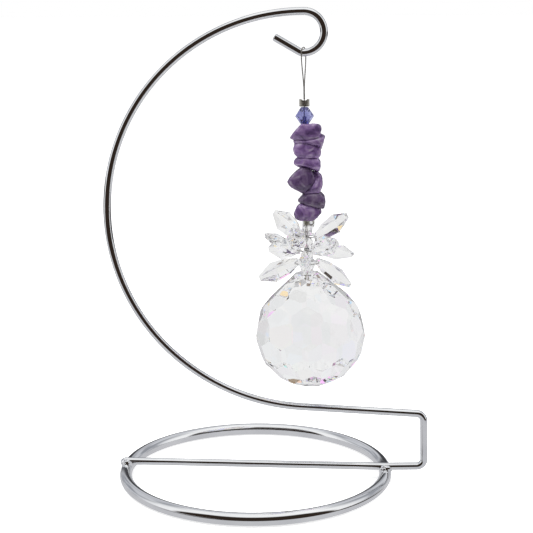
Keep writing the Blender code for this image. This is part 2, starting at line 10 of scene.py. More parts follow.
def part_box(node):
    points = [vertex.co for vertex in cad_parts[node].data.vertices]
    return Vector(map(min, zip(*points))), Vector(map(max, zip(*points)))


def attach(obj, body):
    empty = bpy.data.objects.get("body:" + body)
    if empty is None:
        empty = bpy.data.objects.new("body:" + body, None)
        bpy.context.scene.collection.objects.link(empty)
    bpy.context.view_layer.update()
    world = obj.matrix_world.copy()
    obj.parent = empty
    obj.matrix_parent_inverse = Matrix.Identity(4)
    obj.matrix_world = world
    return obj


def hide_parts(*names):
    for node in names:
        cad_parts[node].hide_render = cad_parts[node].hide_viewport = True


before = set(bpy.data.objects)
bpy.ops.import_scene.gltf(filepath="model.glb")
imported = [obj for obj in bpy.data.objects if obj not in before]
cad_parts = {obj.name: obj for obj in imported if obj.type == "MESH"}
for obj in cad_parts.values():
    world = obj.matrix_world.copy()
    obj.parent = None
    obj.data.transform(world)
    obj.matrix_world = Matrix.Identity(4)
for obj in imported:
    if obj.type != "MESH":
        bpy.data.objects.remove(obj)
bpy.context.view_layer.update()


# The studio: a camera at the photograph's place, a pale floor and soft white light all around.
# A dark zone lies behind the camera, where a room would be, and the chrome picks it up. Light
# that is thrown about inside the crystal leaves it in greys and in the colours of a spectrum.
def aim(place, pan, pitch, roll):
    """World matrix of a camera that looks along +Y, panned left, pitched down and rolled."""
    forward = Vector((-math.sin(pan) * math.cos(pitch), math.cos(pan) * math.cos(pitch),
                      -math.sin(pitch)))
    right = Vector((math.cos(pan), math.sin(pan), 0.0))
    up = right.cross(forward)
    across = math.cos(roll) * right + math.sin(roll) * up
    upward = math.cos(roll) * up - math.sin(roll) * right
    matrix = Matrix((across, upward, -forward)).transposed().to_4x4()
    matrix.translation = place
    return matrix


def link_nodes(tree, *pairs):
    """Join sockets, each pair from an output to an input."""
    for output, socket in pairs:
        tree.links.new(output, socket)


CAMERA_PLACE = (0.035565, -0.4743, 0.1762)
CAMERA_PAN = math.radians(4.31)
CAMERA_PITCH = math.radians(11.19)
CAMERA_ROLL = math.radians(-0.28)
SENSOR_WIDTH = 36.0
FOCAL_PIXELS = 1300.0
IMAGE_PIXELS = 533.0
camera_data = bpy.data.cameras.new("photo_camera")
camera_data.sensor_width = SENSOR_WIDTH
camera_data.lens = FOCAL_PIXELS / IMAGE_PIXELS * SENSOR_WIDTH
camera_data.clip_start = 0.01
camera_data.clip_end = 100.0
photo_camera = bpy.data.objects.new("photo_camera", camera_data)
bpy.context.scene.collection.objects.link(photo_camera)
photo_camera.matrix_world = aim(CAMERA_PLACE, CAMERA_PAN, CAMERA_PITCH, CAMERA_ROLL)
bpy.context.scene.camera = photo_camera
bpy.context.scene.view_settings.view_transform = "Standard"
# Light turns many times inside cut crystal before it leaves
CRYSTAL_BOUNCES = 40
bpy.context.scene.cycles.max_bounces = CRYSTAL_BOUNCES
bpy.context.scene.cycles.transmission_bounces = CRYSTAL_BOUNCES
bpy.context.scene.cycles.glossy_bounces = CRYSTAL_BOUNCES

world = bpy.data.worlds.new("studio")
bpy.context.scene.world = world
world.use_nodes = True
sky = world.node_tree
sky.nodes.clear()
direction = sky.nodes.new("ShaderNodeTexCoord")
split = sky.nodes.new("ShaderNodeSeparateXYZ")
toward_camera = sky.nodes.new("ShaderNodeVectorMath")
toward_camera.operation = "DOT_PRODUCT"
toward_camera.inputs[1].default_value = (0.07, -0.997, 0.0)
link_nodes(sky, (direction.outputs["Generated"], split.inputs[0]),
           (direction.outputs["Generated"], toward_camera.inputs[0]))


def ramp(value, low, high, tree=sky):
    """A smooth step from 0 at low to 1 at high."""
    node = tree.nodes.new("ShaderNodeMapRange")
    node.interpolation_type = "SMOOTHSTEP"
    node.inputs["From Min"].default_value = low
    node.inputs["From Max"].default_value = high
    tree.links.new(value, node.inputs["Value"])
    return node.outputs["Result"]


def times(first, second, tree=sky):
    """The product of two values."""
    node = tree.nodes.new("ShaderNodeMath")
    node.operation = "MULTIPLY"
    link_nodes(tree, (first, node.inputs[0]), (second, node.inputs[1]))
    return node.outputs[0]


def blend(factor, first, second, tree=sky):
    """A mix of two colours, each a socket or a plain colour."""
    node = tree.nodes.new("ShaderNodeMix")
    node.data_type = "RGBA"
    tree.links.new(factor, node.inputs["Factor"])
    for socket, color in ((node.inputs[6], first), (node.inputs[7], second)):
        if isinstance(color, tuple):
            socket.default_value = color
        else:
            tree.links.new(color, socket)
    return node.outputs[2]


def tinted(first, second):
    """One colour multiplied by another."""
    node = sky.nodes.new("ShaderNodeMix")
    node.data_type = "RGBA"
    node.blend_type = "MULTIPLY"
    node.inputs["Factor"].default_value = 1.0
    link_nodes(sky, (first, node.inputs[6]), (second, node.inputs[7]))
    return node.outputs[2]


def spectrum(value, steps, *stops):
    """Colours along a value, smooth or in steps, for the fringes that cut crystal spreads."""
    node = sky.nodes.new("ShaderNodeValToRGB")
    node.color_ramp.interpolation = "CONSTANT" if steps else "LINEAR"
    node.color_ramp.elements[0].position = stops[0][0]
    node.color_ramp.elements[0].color = stops[0][1]
    node.color_ramp.elements[1].position = stops[-1][0]
    node.color_ramp.elements[1].color = stops[-1][1]
    for position, color in stops[1:-1]:
        node.color_ramp.elements.new(position).color = color
    sky.links.new(value, node.inputs["Fac"])
    return node.outputs["Color"]


WHITE = (1.0, 1.0, 1.0, 1.0)
ROOM_SHADE = (0.030, 0.021, 0.016, 1.0)
BACK_GREY = (0.33, 0.34, 0.37, 1.0)
BACK_PALE = (0.62, 0.63, 0.66, 1.0)
BACK_SHADE = (0.06, 0.06, 0.065, 1.0)
CLEAR_GREY = (0.865, 0.865, 0.86, 1.0)
CLEAR_PALE = (0.90, 0.90, 0.895, 1.0)
RIM_WHITE = (0.925, 0.925, 0.93, 1.0)
SOFT_WHITE = (0.97, 0.97, 0.97, 1.0)
height = split.outputs["Z"]
facing = toward_camera.outputs["Value"]
ripple = sky.nodes.new("ShaderNodeTexNoise")
ripple.inputs["Scale"].default_value = 2.2
ripple.inputs["Detail"].default_value = 1.0
sky.links.new(direction.outputs["Generated"], ripple.inputs["Vector"])
back = blend(ramp(ripple.outputs["Fac"], 0.42, 0.58), BACK_GREY, BACK_PALE)
back_level = times(ramp(height, -0.45, -0.35), ramp(height, 0.45, 0.35))
back_middle = times(ramp(facing, -0.86, -0.93), back_level)
soft_box = blend(ramp(facing, -0.42, 0.20), blend(back_middle, back, BACK_SHADE), SOFT_WHITE)
lit = blend(ramp(height, 0.80, 0.92), soft_box, SOFT_WHITE)
room = times(ramp(facing, 0.32, 0.46), times(ramp(height, -0.86, -0.74), ramp(height, 0.84, 0.72)))
mirrored = blend(room, lit, ROOM_SHADE)
behind = blend(ramp(ripple.outputs["Fac"], 0.42, 0.58), CLEAR_GREY, CLEAR_PALE)
clear = blend(ramp(facing, -0.60, -0.20), behind, RIM_WHITE)
warm_fringe = spectrum(facing, False, (0.84, WHITE), (0.87, (0.75, 0.85, 1.3, 1.0)),
                       (0.90, (1.2, 0.6, 1.2, 1.0)), (0.93, (0.30, 0.24, 0.20, 1.0)))
cool_fringe = spectrum(facing, False, (0.84, WHITE), (0.87, (1.3, 1.05, 0.45, 1.0)),
                       (0.90, (0.65, 1.2, 0.75, 1.0)), (0.93, (0.22, 0.22, 0.23, 1.0)))
fringe = blend(ramp(height, -0.02, 0.02), cool_fringe, warm_fringe)
near_level = times(ramp(height, -0.42, -0.30), ramp(height, 0.50, 0.38))
cells = sky.nodes.new("ShaderNodeTexVoronoi")
cells.inputs["Scale"].default_value = 9.0
cell_parts = sky.nodes.new("ShaderNodeSeparateColor")
link_nodes(sky, (direction.outputs["Generated"], cells.inputs["Vector"]),
           (cells.outputs["Color"], cell_parts.inputs[0]))
# Each stop: where it starts among the random cells, and the colour a facet catches there
FLASH_STOPS = (
    (0.0, RIM_WHITE), (0.42, (0.78, 0.78, 0.79, 1.0)), (0.58, (0.50, 0.49, 0.50, 1.0)),
    (0.72, (1.0, 0.80, 0.46, 1.0)), (0.76, (0.58, 0.86, 1.12, 1.0)),
    (0.80, (1.12, 0.60, 1.05, 1.0)), (0.825, (0.52, 0.48, 0.98, 1.0)),
    (0.86, (0.07, 0.055, 0.045, 1.0)), (0.95, (0.86, 0.86, 0.88, 1.0)))
flash = spectrum(cell_parts.outputs["Red"], True, *FLASH_STOPS)
sparkle = tinted(flash, blend(near_level, WHITE, fringe))
light_path = sky.nodes.new("ShaderNodeLightPath")
# The sky counts itself as one bounce more, after the two faces of a straight way through
straight_depth = 3
thrown_about = ramp(light_path.outputs["Ray Depth"], straight_depth + 0.4, straight_depth + 0.6)
through = blend(thrown_about, clear, sparkle)
surroundings = blend(light_path.outputs["Is Transmission Ray"], mirrored, through)
seen = blend(light_path.outputs["Is Camera Ray"], surroundings, WHITE)
background = sky.nodes.new("ShaderNodeBackground")
sky_output = sky.nodes.new("ShaderNodeOutputWorld")
link_nodes(sky, (seen, background.inputs["Color"]), (background.outputs[0], sky_output.inputs["Surface"]))

floor_mesh = bpy.data.meshes.new("floor")
FLOOR_SIDE = 30.0
FLOOR_FRONT = -0.17
FLOOR_HEIGHT = -0.0001
# The grey painted on the floor as the chrome's reflection of it
FLOOR_REFLECTION_GREY = (0.58, 0.58, 0.60, 1.0)
floor_mesh.from_pydata([(-FLOOR_SIDE, FLOOR_FRONT, FLOOR_HEIGHT), (FLOOR_SIDE, FLOOR_FRONT, FLOOR_HEIGHT),
                        (FLOOR_SIDE, FLOOR_SIDE, FLOOR_HEIGHT), (-FLOOR_SIDE, FLOOR_SIDE, FLOOR_HEIGHT)],
                       [], [(0, 1, 2, 3)])
floor = bpy.data.objects.new("floor", floor_mesh)
bpy.context.scene.collection.objects.link(floor)
floor_paint = bpy.data.materials.new("floor_white")
floor_paint.use_nodes = True
floor_shader = floor_paint.node_tree.nodes["Principled BSDF"]
floor_shader.inputs["Base Color"].default_value = (0.80, 0.80, 0.80, 1.0)
floor_shader.inputs["Roughness"].default_value = 0.9
floor_shader.inputs["Specular IOR Level"].default_value = 0.1
floor_shader.inputs["Emission Color"].default_value = (1.0, 1.0, 1.0, 1.0)
floor_shader.inputs["Emission Strength"].default_value = 0.62
floor_tree = floor_paint.node_tree
floor_path = floor_tree.nodes.new("ShaderNodeLightPath")
grazing = floor_tree.nodes.new("ShaderNodeLayerWeight")
floor_place = floor_tree.nodes.new("ShaderNodeTexCoord")
floor_parts = floor_tree.nodes.new("ShaderNodeSeparateXYZ")
floor_tree.links.new(floor_place.outputs["Object"], floor_parts.inputs[0])
# Chrome sees a painted reflection in the floor: grey, and painted dark as the room's shade where it runs
# off low to either end
front = times(ramp(floor_parts.outputs["Y"], -0.004, -0.010, floor_tree),
              ramp(floor_parts.outputs["X"], -0.055, -0.045, floor_tree), floor_tree)
low = ramp(grazing.outputs["Facing"], 0.72, 0.86, floor_tree)
far = ramp(floor_parts.outputs["Y"], 0.10, 0.14, floor_tree)
front_painted_reflection = blend(times(front, low, floor_tree), FLOOR_REFLECTION_GREY, ROOM_SHADE, floor_tree)
floor_painted_reflection = blend(times(far, low, floor_tree), front_painted_reflection, BACK_SHADE, floor_tree)
# The floor glows its painted reflection for glossy rays only, and an even pale grey for rays through
# crystal
mirrored_glow = floor_tree.nodes.new("ShaderNodeEmission")
through_glow = floor_tree.nodes.new("ShaderNodeEmission")
through_glow.inputs["Color"].default_value = (0.875, 0.875, 0.87, 1.0)
floor_tree.links.new(floor_painted_reflection, mirrored_glow.inputs["Color"])
floor_surface = floor_shader.outputs["BSDF"]
for ray, glow in (("Is Glossy Ray", mirrored_glow), ("Is Transmission Ray", through_glow)):
    switch = floor_tree.nodes.new("ShaderNodeMixShader")
    link_nodes(floor_tree, (floor_path.outputs[ray], switch.inputs[0]),
               (floor_surface, switch.inputs[1]), (glow.outputs[0], switch.inputs[2]))
    floor_surface = switch.outputs[0]
floor_tree.links.new(floor_surface, floor_tree.nodes["Material Output"].inputs["Surface"])
floor_mesh.materials.append(floor_paint)

# Each row: the lamp's name, place, width and power; chrome and crystal don't show the lamps
LAMPS = (("key_light", (-0.25, -0.15, 0.75), 0.5, 5.0),
         ("fill_light", (0.55, 0.1, 0.45), 0.4, 2.0))
LAMP_TARGET = Vector((0.0, 0.0, 0.08))
for name, place, size, power in LAMPS:
    lamp = bpy.data.lights.new(name, "AREA")
    lamp.shape = "DISK"
    lamp.size = size
    lamp.energy = power
    light = bpy.data.objects.new(name, lamp)
    light.visible_transmission = False
    light.visible_glossy = False
    bpy.context.scene.collection.objects.link(light)
    light.location = place
    lamp_line = LAMP_TARGET - Vector(place)
    light.rotation_euler = lamp_line.to_track_quat("-Z", "Y").to_euler()


# The base ring: a round steel rod bent into a circle, butt welded and chrome plated.
# It lies on the table and carries the wire across its top.
def principled(name, metallic=0.0, roughness=0.5, transmission=0.0, ior=1.5, coat=0.0):
    """A Principled material with its plain values on the shader's own sockets."""
    material = bpy.data.materials.new(name)
    material.use_nodes = True
    shader = material.node_tree.nodes["Principled BSDF"]
    shader.inputs["Metallic"].default_value = metallic
    shader.inputs["Roughness"].default_value = roughness
    shader.inputs["Transmission Weight"].default_value = transmission
    shader.inputs["IOR"].default_value = ior
    shader.inputs["Coat Weight"].default_value = coat
    return material, shader


def noise_field(tree, scale, detail=3.0, distortion=0.0):
    """Noise over the piece's own Object coordinates."""
    coordinates = tree.nodes.new("ShaderNodeTexCoord")
    field = tree.nodes.new("ShaderNodeTexNoise")
    field.inputs["Scale"].default_value = scale
    field.inputs["Detail"].default_value = detail
    field.inputs["Distortion"].default_value = distortion
    tree.links.new(coordinates.outputs["Object"], field.inputs["Vector"])
    return field.outputs["Fac"]


def color_ramp(tree, value, *stops):
    """Colours along a value from 0 to 1."""
    node = tree.nodes.new("ShaderNodeValToRGB")
    node.color_ramp.elements[0].position = stops[0][0]
    node.color_ramp.elements[0].color = (*stops[0][1], 1.0)
    node.color_ramp.elements[1].position = stops[-1][0]
    node.color_ramp.elements[1].color = (*stops[-1][1], 1.0)
    for position, color in stops[1:-1]:
        node.color_ramp.elements.new(position).color = (*color, 1.0)
    tree.links.new(value, node.inputs["Fac"])
    return node.outputs["Color"]


def rescale(tree, value, low, high):
    """A value from 0 to 1 brought between low and high."""
    node = tree.nodes.new("ShaderNodeMapRange")
    node.inputs["To Min"].default_value = low
    node.inputs["To Max"].default_value = high
    tree.links.new(value, node.inputs["Value"])
    return node.outputs["Result"]


def bump(tree, shader, value, distance):
    """A fine relief from a value, on top of the mesh's own shape."""
    node = tree.nodes.new("ShaderNodeBump")
    node.inputs["Distance"].default_value = distance
    link_nodes(tree, (value, node.inputs["Height"]), (node.outputs["Normal"], shader.inputs["Normal"]))


def chrome_plate(name, cloud_scale, wave_depth):
    """Bright chrome: a faint unevenness in tone and polish, and slow waves in the drawn rod."""
    material, shader = principled(name, metallic=1.0)
    tree = material.node_tree
    cloud = noise_field(tree, cloud_scale, 4.0)
    tone = color_ramp(tree, cloud, (0.3, (0.80, 0.81, 0.83)), (0.7, (0.92, 0.93, 0.94)))
    link_nodes(tree, (tone, shader.inputs["Base Color"]),
               (rescale(tree, cloud, 0.03, 0.11), shader.inputs["Roughness"]))
    bump(tree, shader, noise_field(tree, cloud_scale / 3.0, 2.0), wave_depth)
    return material


def new_tree(name, *inputs):
    """A Geometry Nodes tree with named inputs; returns it with its input and output nodes."""
    tree = bpy.data.node_groups.new(name, "GeometryNodeTree")
    for label, kind in inputs:
        tree.interface.new_socket(label, in_out="INPUT", socket_type=kind)
    tree.interface.new_socket("Geometry", in_out="OUTPUT", socket_type="NodeSocketGeometry")
    return tree, tree.nodes.new("NodeGroupInput"), tree.nodes.new("NodeGroupOutput")


def add_piece(name, mesh):
    """An object at the origin that holds a finished mesh."""
    piece = bpy.data.objects.new(name, mesh)
    bpy.context.scene.collection.objects.link(piece)
    return piece


def grow(name, source, tree, **values):
    """Run a tree on an object, keep the result as a plain mesh and drop the object."""
    modifier = source.modifiers.new(tree.name, "NODES")
    modifier.node_group = tree
    for item in tree.interface.items_tree:
        if item.item_type == "SOCKET" and item.in_out == "INPUT" and item.name in values:
            modifier[item.identifier] = values[item.name]
    evaluated = source.evaluated_get(bpy.context.evaluated_depsgraph_get())
    mesh = bpy.data.meshes.new_from_object(evaluated)
    source.modifiers.remove(modifier)
    bpy.data.objects.remove(source, do_unlink=True)
    mesh.name = name
    return add_piece(name, mesh)


def finish_rod(tree, curve, rod_radius, sides, material, output):
    """Sweep a round section along a curve and end the tree in a real, painted mesh."""
    section = tree.nodes.new("GeometryNodeCurvePrimitiveCircle")
    sweep = tree.nodes.new("GeometryNodeCurveToMesh")
    sweep.inputs["Fill Caps"].default_value = True
    smooth = tree.nodes.new("GeometryNodeSetShadeSmooth")
    real = tree.nodes.new("GeometryNodeRealizeInstances")
    paint = tree.nodes.new("GeometryNodeSetMaterial")
    link_nodes(tree, (sides, section.inputs["Resolution"]), (rod_radius, section.inputs["Radius"]),
               (curve, sweep.inputs["Curve"]), (section.outputs["Curve"], sweep.inputs["Profile Curve"]),
               (sweep.outputs["Mesh"], smooth.inputs["Geometry"]),
               (smooth.outputs["Geometry"], real.inputs["Geometry"]),
               (real.outputs["Geometry"], paint.inputs["Geometry"]),
               (material, paint.inputs["Material"]),
               (paint.outputs["Geometry"], output.inputs["Geometry"]))


RING_RADIUS = 0.0497
RING_STEPS = 288
RING_SIDES = 36
ring_low, ring_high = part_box("base_ring")
RING_X = (ring_low[0] + ring_high[0]) / 2
RING_HEIGHT = (ring_low[2] + ring_high[2]) / 2
ring_tree, given, made = new_tree(
    "bent_ring", ("Centre", "NodeSocketVector"), ("Ring radius", "NodeSocketFloat"),
    ("Rod radius", "NodeSocketFloat"), ("Steps", "NodeSocketInt"), ("Sides", "NodeSocketInt"),
    ("Finish", "NodeSocketMaterial"))
hoop = ring_tree.nodes.new("GeometryNodeCurvePrimitiveCircle")
lift = ring_tree.nodes.new("GeometryNodeSetPosition")
link_nodes(ring_tree, (given.outputs["Steps"], hoop.inputs["Resolution"]),
           (given.outputs["Ring radius"], hoop.inputs["Radius"]),
           (hoop.outputs["Curve"], lift.inputs["Geometry"]),
           (given.outputs["Centre"], lift.inputs["Offset"]))
finish_rod(ring_tree, lift.outputs["Geometry"], given.outputs["Rod radius"], given.outputs["Sides"],
           given.outputs["Finish"], made)
ring_chrome = chrome_plate("ring_chrome", 60.0, 0.00001)
base_ring = grow("ring_rod", add_piece("ring_seed", bpy.data.meshes.new("ring_seed")), ring_tree,
                 Centre=(RING_X, 0.0, RING_HEIGHT), Steps=RING_STEPS, Sides=RING_SIDES,
                 Finish=ring_chrome, **{"Ring radius": RING_RADIUS, "Rod radius": RING_HEIGHT})
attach(base_ring, "root")
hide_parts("base_ring")

# The stand wire: one chrome-plated steel wire. Its straight bar is welded across the ring at two
# places; past the ring it turns up, back over itself, then sweeps round in a C to the hook.
WIRE = 0.0028
WIRE_Y = -0.0013
WIRE_SIDES = 32
WELD_SET_DOWN = 0.0008
BAR_HEIGHT = 2 * RING_HEIGHT + WIRE / 2 - WELD_SET_DOWN
BAR_OVERHANG = 0.0012
BAR_START_X = RING_X - RING_RADIUS - BAR_OVERHANG
END_ROUNDING = 0.0003
RUN_PIECE = 0.004
BROAD_BEND = 0.03
BROAD_STEP = math.radians(2.0)
TIGHT_STEP = math.radians(5.0)
# Each row: the straight run, the turn to the left after it, and that bend's radius
WIRE_TURNS = (
    (BAR_OVERHANG + 2 * RING_RADIUS, math.radians(2.0), 0.02),
    (0.0111, math.radians(89.3), 0.0028),
    (0.0152, math.radians(86.2), 0.0028),
    (0.0436, -math.radians(43.4), 0.0767),
    (0.0, -math.radians(134.1), 0.0731),
    (0.0, -math.pi, 0.00735),
    (0.0, -math.radians(30.0), 0.003),
    (0.0105, 0.0, 0.0),
)


def walk(place, turns):
    """Points along the wire: straight runs and arcs, to the left where the turn is positive."""
    heading = 0.0
    points = [place.copy()]
    corners = []
    for run, turn, radius in turns:
        if run:
            ahead = Vector((math.cos(heading), 0.0, math.sin(heading)))
            pieces = max(1, round(run / RUN_PIECE))
            points.extend(place + ahead * run * (i + 1) / pieces for i in range(pieces))
            place = points[-1].copy()
        if turn:
            side = math.copysign(1.0, turn)
            center = place + side * radius * Vector((-math.sin(heading), 0.0, math.cos(heading)))
            step = BROAD_STEP if radius > BROAD_BEND else TIGHT_STEP
            steps = max(8, round(abs(turn) / step))
            for i in range(1, steps + 1):
                angle = heading + turn * i / steps
                points.append(center + side * radius * Vector((math.sin(angle), 0.0, -math.cos(angle))))
            heading += turn
            place = points[-1].copy()
        corners.append(place.copy())
    return points, corners


def line_curve(name, points):
    """A curve object with one open spline through the points."""
    curve = bpy.data.curves.new(name, "CURVE")
    curve.dimensions = "3D"
    spline = curve.splines.new("POLY")
    spline.points.add(len(points) - 1)
    for spline_point, point in zip(spline.points, points):
        spline_point.co = (*point, 1.0)
    return add_piece(name, curve)


def round_ends(piece, width):
    """Break the sharp rim at the rod's two cut ends."""
    bm = bmesh.new()
    bm.from_mesh(piece.data)
    bmesh.ops.remove_doubles(bm, verts=bm.verts, dist=1e-7)
    caps = [face for face in bm.faces if len(face.verts) > 4]
    rims = list({edge for face in caps for edge in face.edges})
    bmesh.ops.bevel(bm, geom=rims, offset=width, segments=2, affect="EDGES", clamp_overlap=True)
    bm.to_mesh(piece.data)
    bm.free()


rod_tree, given, made = new_tree(
    "bent_rod", ("Geometry", "NodeSocketGeometry"), ("Rod radius", "NodeSocketFloat"),
    ("Sides", "NodeSocketInt"), ("Finish", "NodeSocketMaterial"))
finish_rod(rod_tree, given.outputs["Geometry"], given.outputs["Rod radius"], given.outputs["Sides"],
           given.outputs["Finish"], made)
wire_line, wire_corners = walk(Vector((BAR_START_X, WIRE_Y, BAR_HEIGHT)), WIRE_TURNS)
wire_chrome = chrome_plate("wire_chrome", 90.0, 0.000005)
stand_wire = grow("bent_wire", line_curve("wire_line", wire_line), rod_tree, Sides=WIRE_SIDES,
                  Finish=wire_chrome, **{"Rod radius": WIRE / 2})
round_ends(stand_wire, END_ROUNDING)
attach(stand_wire, "root")
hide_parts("stand_wire")
CURL_ROW = 5
hang_point = wire_corners[CURL_ROW]

# The two welds: small lumpy beads of steel melted between the bar and the ring, and plated
# over with the rest.
WELD_REACH = (0.0026, 0.0025, 0.0018)
weld_chrome = chrome_plate("weld_chrome", 900.0, 0.00008)
for name, side in (("weld_left", -1), ("weld_right", 1)):
    bm = bmesh.new()
    bmesh.ops.create_icosphere(bm, subdivisions=5, radius=1.0)
    center = Vector((RING_X + side * RING_RADIUS, WIRE_Y, BAR_HEIGHT - WIRE / 4))
    for vert in bm.verts:
        swell = 0.16 * noise.noise(vert.co * 1.7 + center * 300.0)
        ripples = 0.05 * noise.noise(vert.co * 5.0 + center * 900.0)
        reach = Vector([part * size for part, size in zip(vert.co, WELD_REACH)])
        vert.co = center + reach * (1.0 + swell + ripples)
    mesh = bpy.data.meshes.new(name)
    bm.to_mesh(mesh)
    bm.free()
    mesh.shade_smooth()
    mesh.materials.append(weld_chrome)
    weld = add_piece(name, mesh)
    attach(weld, "root")

# The hanging cable: fine beading cable of six steel strands. It is looped over the hook, held
# by a crimp, and runs doubled and twisted down through every bead into the crystal ball.
PENDANT_LEAN = math.radians(-1.0)
PENDANT = Matrix.Translation(hang_point) @ Matrix.Rotation(PENDANT_LEAN, 4, "Y")
CABLE = 0.00045
STRAND_RADIUS = 0.00009
PLY_RADIUS = 0.00016
PLY_LAY = 0.00015
# Radians of twist for each metre of cable
STRAND_TWIST = 3200.0
PLY_TWIST = 2400.0
LOOP_TURN = math.radians(21.0)
LOOP_LENGTH = 0.0125
LEG_GAP = 0.0002
LEG_FOOT = 0.0165
LEG_STEPS = 8
ARC_STEPS = 20
TWIST_TOP = 0.0130
TWIST_STEPS = 20
LINE_END = 0.0853
strand_tree, given, made = new_tree(
    "twisted_strands", ("Geometry", "NodeSocketGeometry"), ("Strands", "NodeSocketInt"),
    ("Lay radius", "NodeSocketFloat"), ("Strand radius", "NodeSocketFloat"),
    ("Turn per metre", "NodeSocketFloat"), ("Step", "NodeSocketFloat"), ("Sides", "NodeSocketInt"),
    ("Finish", "NodeSocketMaterial"))


def geometry_math(operation, first, second):
    """One sum or product in a tree of strands."""
    node = strand_tree.nodes.new("ShaderNodeMath")
    node.operation = operation
    for socket, value in zip(node.inputs, (first, second)):
        if isinstance(value, float):
            socket.default_value = value
        elif value is not None:
            strand_tree.links.new(value, socket)
    return node.outputs[0]


def scaled(vector, factor):
    """A direction times a length."""
    node = strand_tree.nodes.new("ShaderNodeVectorMath")
    node.operation = "SCALE"
    link_nodes(strand_tree, (vector, node.inputs[0]), (factor, node.inputs["Scale"]))
    return node.outputs[0]


resample = strand_tree.nodes.new("GeometryNodeResampleCurve")
resample.mode = "LENGTH"
copies = strand_tree.nodes.new("GeometryNodeDuplicateElements")
copies.domain = "SPLINE"
along = strand_tree.nodes.new("GeometryNodeSplineParameter")
normal = strand_tree.nodes.new("GeometryNodeInputNormal")
tangent = strand_tree.nodes.new("GeometryNodeInputTangent")
sideways = strand_tree.nodes.new("ShaderNodeVectorMath")
sideways.operation = "CROSS_PRODUCT"
gather = strand_tree.nodes.new("ShaderNodeVectorMath")
gather.operation = "ADD"
lay = strand_tree.nodes.new("GeometryNodeSetPosition")
share = geometry_math("DIVIDE", copies.outputs["Duplicate Index"], given.outputs["Strands"])
phase = geometry_math("MULTIPLY", share, 2 * math.pi)
angle = geometry_math("ADD", phase, geometry_math("MULTIPLY", along.outputs["Length"],
                                                  given.outputs["Turn per metre"]))
reach = given.outputs["Lay radius"]
out = geometry_math("MULTIPLY", geometry_math("COSINE", angle, None), reach)
across = geometry_math("MULTIPLY", geometry_math("SINE", angle, None), reach)
link_nodes(strand_tree, (given.outputs["Geometry"], resample.inputs["Curve"]),
           (given.outputs["Step"], resample.inputs["Length"]),
           (resample.outputs["Curve"], copies.inputs["Geometry"]),
           (given.outputs["Strands"], copies.inputs["Amount"]),
           (copies.outputs["Geometry"], lay.inputs["Geometry"]),
           (tangent.outputs[0], sideways.inputs[0]), (normal.outputs[0], sideways.inputs[1]),
           (scaled(normal.outputs[0], out), gather.inputs[0]),
           (scaled(sideways.outputs[0], across), gather.inputs[1]),
           (gather.outputs[0], lay.inputs["Offset"]))
finish_rod(strand_tree, lay.outputs["Geometry"], given.outputs["Strand radius"], given.outputs["Sides"],
           given.outputs["Finish"], made)

cable_steel, cable_shader = principled("cable_steel", metallic=1.0, roughness=0.28)
tone = color_ramp(cable_steel.node_tree, noise_field(cable_steel.node_tree, 1500.0),
                  (0.3, (0.36, 0.34, 0.30)), (0.7, (0.62, 0.60, 0.56)))
cable_steel.node_tree.links.new(tone, cable_shader.inputs["Base Color"])

outward = Vector((-math.sin(LOOP_TURN), -math.cos(LOOP_TURN), 0.0))
loop_radius = WIRE / 2 / math.cos(LOOP_TURN) + CABLE / 2 + LEG_GAP
loop_points = []
for side in (1, -1):
    leg = [outward * side * LEG_GAP + Vector((0, 0, -LEG_FOOT))]
    for i in range(LEG_STEPS + 1):
        t = i / LEG_STEPS
        spread = loop_radius * math.sin(math.pi / 2 * t) ** 1.3 + LEG_GAP
        drop = Vector((0, 0, -LOOP_LENGTH * (1 - t) ** 1.15))
        leg.append(outward * side * min(spread, loop_radius) + drop)
    loop_points.append(leg)
arc = []
for i in range(1, ARC_STEPS):
    turned = math.pi * i / ARC_STEPS
    arc.append(loop_radius * (math.cos(turned) * outward + Vector((0, 0, math.sin(turned)))))
cable_line = loop_points[0] + arc + loop_points[1][::-1]
cable_loop = grow("cable_loop", line_curve("loop_line", [PENDANT @ p for p in cable_line]), strand_tree,
                  Strands=6, Step=0.00018, Sides=6, Finish=cable_steel,
                  **{"Lay radius": CABLE / 2 - STRAND_RADIUS, "Strand radius": STRAND_RADIUS,
                     "Turn per metre": STRAND_TWIST})
line_points = [PENDANT @ Vector((0, 0, -TWIST_TOP - (LINE_END - TWIST_TOP) * i / TWIST_STEPS))
               for i in range(TWIST_STEPS + 1)]
cable_twist = grow("cable_twist", line_curve("twist_line", line_points), strand_tree,
                   Strands=2, Step=0.0003, Sides=8, Finish=cable_steel,
                   **{"Lay radius": PLY_LAY, "Strand radius": PLY_RADIUS, "Turn per metre": PLY_TWIST})
for piece in (cable_loop, cable_twist):
    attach(piece, "root")
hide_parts("hanging_cable")


# The crimps: short soft-metal tubes squeezed on the cable with pliers. The upper one is pressed
# flat, with a dip between two lobes; the lower one holds the turned end of its wire as an eye.
def node_copy(node, flat_angle=0.5):
    """A welded working copy of a CAD solid, with its flat facets whole again."""
    bm = bmesh.new()
    bm.from_mesh(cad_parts[node].data)
    bmesh.ops.remove_doubles(bm, verts=bm.verts, dist=2e-6)
    bmesh.ops.dissolve_limit(bm, angle_limit=math.radians(flat_angle), verts=bm.verts, edges=bm.edges)
    bmesh.ops.recalc_face_normals(bm, faces=bm.faces)
    return bm


def stand_for(name, bm, node, material, smooth=False):
    """Finish a piece that stands for one CAD node, and let it ride with the stand."""
    mesh = bpy.data.meshes.new(name)
    bm.to_mesh(mesh)
    bm.free()
    if smooth:
        mesh.shade_smooth()
    mesh.materials.append(material)
    piece = add_piece(name, mesh)
    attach(piece, "root")
    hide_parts(node)
    return piece


